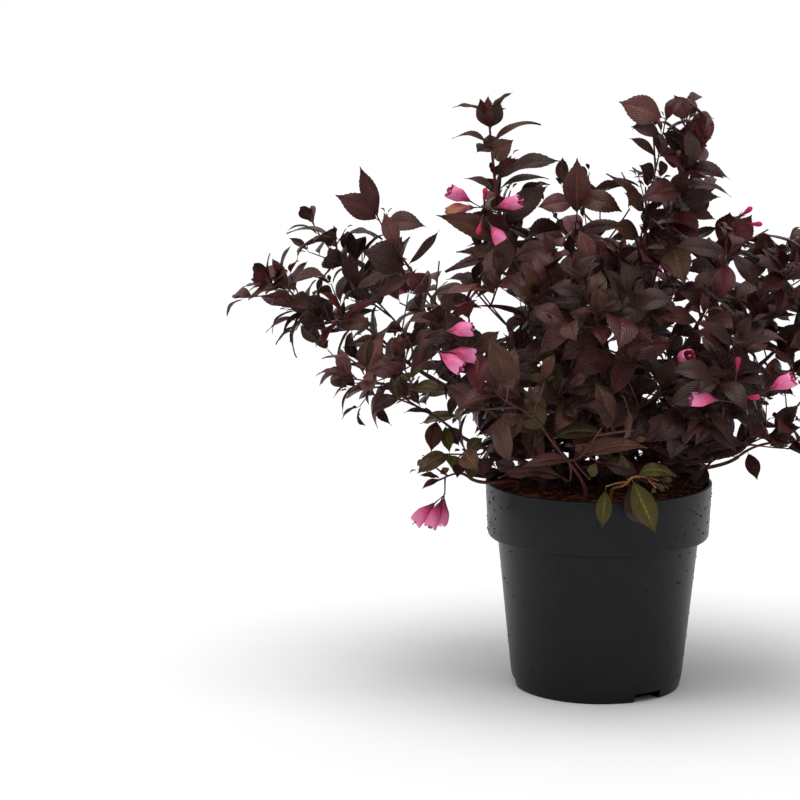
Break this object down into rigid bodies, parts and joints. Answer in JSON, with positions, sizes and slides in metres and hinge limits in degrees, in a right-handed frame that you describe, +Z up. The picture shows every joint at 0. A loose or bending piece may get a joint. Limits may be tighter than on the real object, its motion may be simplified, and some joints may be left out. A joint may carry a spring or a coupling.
{
  "type": "potted weigela shrub",
  "caption": "Dark-leaved weigela shrub with arching leafy shoots and pink funnel flowers, in a round tapered black nursery pot with a deep collar.",
  "frame": {"origin": "centre of the pot's flat underside", "axes": "+Z up, +X to the right and -Y towards the viewer in the pictured front view"},
  "size_m": [0.6775, 0.4955, 0.6038],
  "materials": {
    "pot_plastic": "satin black",
    "bark_mulch": "moist fibrous bark mulch",
    "bark": "smooth red-brown bark",
    "foliage": "dark purple-brown leaves with a soft sheen, pink blossom"
  },
  "bodies": {
    "root": {"pot": "pot_plastic", "soil": "bark_mulch", "stem_left_spire": "bark", "stem_middle": "bark", "stem_right_spire": "bark", "stem_right": "bark", "stem_far_right": "bark", "branch_low_right": "bark", "stem_left": "bark", "stem_far_left": "bark", "branch_low_left": "bark", "twig_low_left": "bark", "stem_front_left": "bark", "twig_front_right": "bark", "stem_centre": "bark", "stem_back_left": "bark", "stem_back_far_left": "bark", "stem_back_mid": "bark", "stem_back_right": "bark", "stem_back_far_right": "bark", "foliage_left_spire": "foliage", "foliage_left_inner": "foliage", "foliage_middle": "foliage", "foliage_centre_left": "foliage", "foliage_right_spire": "foliage", "foliage_right_crest": "foliage", "foliage_centre_top": "foliage", "foliage_right_shoulder": "foliage", "foliage_right_flowers": "foliage", "foliage_right_top": "foliage", "foliage_far_right": "foliage", "foliage_far_right_low": "foliage", "foliage_low_right": "foliage", "foliage_right_low": "foliage", "foliage_left_shoot": "foliage", "foliage_left_flowers": "foliage", "foliage_far_left_end": "foliage", "foliage_far_left_top": "foliage", "foliage_far_left_low": "foliage", "foliage_low_left": "foliage", "foliage_low_left_green": "foliage", "foliage_hanging_flowers": "foliage", "foliage_front_left": "foliage", "foliage_front_mid": "foliage", "foliage_front_hanging": "foliage", "foliage_centre_front": "foliage", "foliage_centre_low": "foliage", "foliage_centre_right": "foliage", "foliage_back_left": "foliage", "foliage_back_low_left": "foliage", "foliage_back_far_left": "foliage", "foliage_back_crest": "foliage", "foliage_back_mid": "foliage", "foliage_back_low": "foliage", "foliage_back_flank": "foliage", "foliage_back_right": "foliage", "foliage_back_low_right": "foliage", "foliage_back_far_right": "foliage"}
  },
  "joints": []
}
